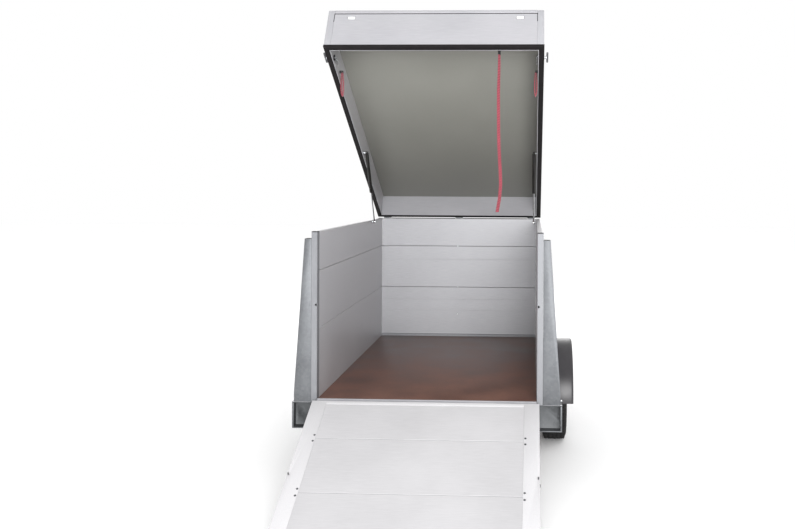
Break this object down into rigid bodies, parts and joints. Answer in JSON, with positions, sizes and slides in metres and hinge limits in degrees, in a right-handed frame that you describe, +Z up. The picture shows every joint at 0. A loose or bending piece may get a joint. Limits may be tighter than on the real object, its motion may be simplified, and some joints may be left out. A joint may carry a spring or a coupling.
{
  "type": "livestock trailer",
  "caption": "Single-axle box trailer for livestock with plank walls, a rear loading ramp folded down and a hinged hard lid held open on gas struts.",
  "frame": {"origin": "on the ground under the middle of the whole length and width, ramp down", "axes": "+X right, +Y forward towards the coupling, +Z up"},
  "size_m": [1.736, 4.168, 2.7772],
  "materials": {
    "galvanised_steel": "hot-dip galvanised, matt spangle",
    "axle_steel": "galvanised",
    "bright_zinc": "zinc plated",
    "plank_aluminium": "anodised, satin",
    "profile_aluminium": "mill finish extrusion",
    "lid_aluminium": "anodised, satin",
    "roof_sheet": "coil-coated sheet, pale grey",
    "ramp_aluminium": "mill finish, bright",
    "phenolic_plywood": "brown phenolic film, wire-mesh embossed",
    "black_rubber": "matt",
    "tyre_rubber": "matt",
    "rim_steel": "silver enamel",
    "guard_plastic": "black polypropylene, satin",
    "black_plastic": "black nylon",
    "black_steel": "black powder coat",
    "strut_rod_steel": "ground and plated",
    "cast_coupling": "zinc plated casting",
    "lever_red": "red powder coat",
    "red_webbing": "polyester webbing"
  },
  "bodies": {
    "chassis": {"side_rails": "galvanised_steel", "cross_members": "galvanised_steel", "drawbar": "galvanised_steel", "axle_tube": "axle_steel", "torsion_cords": "black_rubber", "floor_board": "phenolic_plywood", "floor_trim": "profile_aluminium", "wall_left": "plank_aluminium", "wall_right": "plank_aluminium", "wall_front": "plank_aluminium", "rear_posts": "profile_aluminium", "front_posts": "profile_aluminium", "front_stake": "galvanised_steel", "gussets": "galvanised_steel", "lamp_boxes": "galvanised_steel", "mudguards": "guard_plastic", "mudguard_stays": "galvanised_steel", "lid_hinge_bases": "galvanised_steel", "hinge_pins": "bright_zinc", "strut_wall_studs": "bright_zinc", "jockey_clamp": "galvanised_steel", "coupling_head": "cast_coupling", "ramp_hinge_bases": "galvanised_steel", "frame_bolts": "bright_zinc"},
    "coupling_lever": {"coupling_lever": "lever_red"},
    "lid": {"lid_roof": "roof_sheet", "lid_side_rails": "lid_aluminium", "lid_end_rails": "lid_aluminium", "lid_corners": "profile_aluminium", "lid_seal": "black_rubber", "lid_hinge_leaves": "galvanised_steel", "lock_housings": "black_plastic", "strap_anchor": "black_plastic", "pull_strap": "red_webbing", "grab_loops": "red_webbing", "lid_strut_studs": "bright_zinc"},
    "lock_left": {"lock_handle_left": "black_steel"},
    "lock_right": {"lock_handle_right": "black_steel"},
    "strut_cylinder_left": {"strut_cylinder_left": "black_steel"},
    "strut_cylinder_right": {"strut_cylinder_right": "black_steel"},
    "strut_rod_left": {"strut_rod_left": "strut_rod_steel"},
    "strut_rod_right": {"strut_rod_right": "strut_rod_steel"},
    "ramp": {"ramp_frame": "ramp_aluminium", "ramp_planks": "ramp_aluminium"},
    "ramp_latch_left": {"ramp_latch_left": "black_plastic"},
    "ramp_latch_right": {"ramp_latch_right": "black_plastic"},
    "swing_arm_left": {"swing_arm_left": "axle_steel"},
    "swing_arm_right": {"swing_arm_right": "axle_steel"},
    "wheel_left": {"hub_left": "bright_zinc", "rim_left": "rim_steel", "tyre_left": "tyre_rubber"},
    "wheel_right": {"hub_right": "bright_zinc", "rim_right": "rim_steel", "tyre_right": "tyre_rubber"},
    "jockey_mast": {"jockey_mast": "bright_zinc"},
    "jockey_crank": {"jockey_crank": "black_steel"},
    "jockey_leg": {"jockey_leg": "bright_zinc"},
    "jockey_fork": {"jockey_fork": "galvanised_steel"},
    "jockey_wheel": {"jockey_rim": "black_plastic", "jockey_tyre": "black_rubber"}
  },
  "joints": [
    {"name": "lid_hinge", "type": "hinge", "parent": "chassis", "child": "lid", "pos_m": [0, 0.98802, 1.436], "axis": [1, 0, 0], "range_deg": [0, 30.2], "stiffness_Nm_per_rad": 230, "springref_deg": -114.59},
    {"name": "ramp_hinge", "type": "hinge", "parent": "chassis", "child": "ramp", "pos_m": [0, -1.19298, 0.443], "axis": [-1, 0, 0], "range_deg": [0, 116.79]},
    {"name": "coupling_lever_pivot", "type": "hinge", "parent": "chassis", "child": "coupling_lever", "pos_m": [0, 1.97202, 0.44], "axis": [-1, 0, 0], "range_deg": [0, 60], "stiffness_Nm_per_rad": 1.5, "springref_deg": -45.84},
    {"name": "jockey_mast_slide", "type": "slide", "parent": "chassis", "child": "jockey_mast", "axis": [0, 0, 1], "range_m": [0, 0.05]},
    {"name": "jockey_crank_turn", "type": "hinge", "parent": "jockey_mast", "child": "jockey_crank", "pos_m": [0, 1.70802, 0.466], "axis": [0, 0, 1], "range_deg": [-7200, 2880]},
    {"name": "jockey_leg_slide", "type": "slide", "parent": "jockey_mast", "child": "jockey_leg", "axis": [0, 0, 1], "range_m": [-0.1005, 0.0405]},
    {"name": "jockey_fork_swivel", "type": "hinge", "parent": "jockey_leg", "child": "jockey_fork", "pos_m": [0, 1.70802, 0.2], "axis": [0, 0, 1], "continuous": true},
    {"name": "jockey_wheel_spin", "type": "hinge", "parent": "jockey_fork", "child": "jockey_wheel", "pos_m": [0, 1.67802, 0.1], "axis": [1, 0, 0], "continuous": true},
    {"name": "lock_left_turn", "type": "hinge", "parent": "lid", "child": "lock_left", "pos_m": [-0.666, -0.75036, 2.48479], "axis": [-1, 0, 0], "range_deg": [0, 90]},
    {"name": "strut_left_pivot", "type": "hinge", "parent": "lid", "child": "strut_cylinder_left", "pos_m": [-0.61, 0.18818, 1.93045], "axis": [1, 0, 0], "range_deg": [0, 23.1]},
    {"name": "strut_left_slide", "type": "slide", "parent": "strut_cylinder_left", "child": "strut_rod_left", "axis": [0, -0.5145, 0.8575], "range_m": [0, 0.152]},
    {"name": "ramp_latch_left_pull", "type": "slide", "parent": "ramp", "child": "ramp_latch_left", "axis": [0, 0.4507, -0.8927], "range_m": [0, 0.014], "stiffness_N_per_m": 900, "springref_m": -0.006},
    {"name": "suspension_left", "type": "hinge", "parent": "chassis", "child": "swing_arm_left", "pos_m": [-0.65, -0.09992, 0.3356], "axis": [-1, 0, 0], "range_deg": [-3, 30], "stiffness_Nm_per_rad": 1900, "springref_deg": -6.3},
    {"name": "wheel_left_spin", "type": "hinge", "parent": "swing_arm_left", "child": "wheel_left", "pos_m": [-0.7525, -0.24198, 0.2736], "axis": [1, 0, 0], "continuous": true},
    {"name": "lock_right_turn", "type": "hinge", "parent": "lid", "child": "lock_right", "pos_m": [0.666, -0.75036, 2.48479], "axis": [-1, 0, 0], "range_deg": [0, 90]},
    {"name": "strut_right_pivot", "type": "hinge", "parent": "lid", "child": "strut_cylinder_right", "pos_m": [0.61, 0.18818, 1.93045], "axis": [1, 0, 0], "range_deg": [0, 23.1]},
    {"name": "strut_right_slide", "type": "slide", "parent": "strut_cylinder_right", "child": "strut_rod_right", "axis": [0, -0.5145, 0.8575], "range_m": [0, 0.152]},
    {"name": "ramp_latch_right_pull", "type": "slide", "parent": "ramp", "child": "ramp_latch_right", "axis": [0, 0.4507, -0.8927], "range_m": [0, 0.014], "stiffness_N_per_m": 900, "springref_m": -0.006},
    {"name": "suspension_right", "type": "hinge", "parent": "chassis", "child": "swing_arm_right", "pos_m": [0.65, -0.09992, 0.3356], "axis": [-1, 0, 0], "range_deg": [-3, 30], "stiffness_Nm_per_rad": 1900, "springref_deg": -6.3},
    {"name": "wheel_right_spin", "type": "hinge", "parent": "swing_arm_right", "child": "wheel_right", "pos_m": [0.7525, -0.24198, 0.2736], "axis": [1, 0, 0], "continuous": true}
  ],
  "couplings": [
    {"joint": "jockey_leg_slide", "follows": "jockey_crank_turn", "m_per_rad": 0.00079577},
    {"joint": "strut_left_pivot", "follows": "lid_hinge", "ratio": 0.75747},
    {"joint": "strut_left_slide", "follows": "lid_hinge", "m_per_rad": 0.28423},
    {"joint": "strut_right_pivot", "follows": "lid_hinge", "ratio": 0.75747},
    {"joint": "strut_right_slide", "follows": "lid_hinge", "m_per_rad": 0.28423}
  ]
}
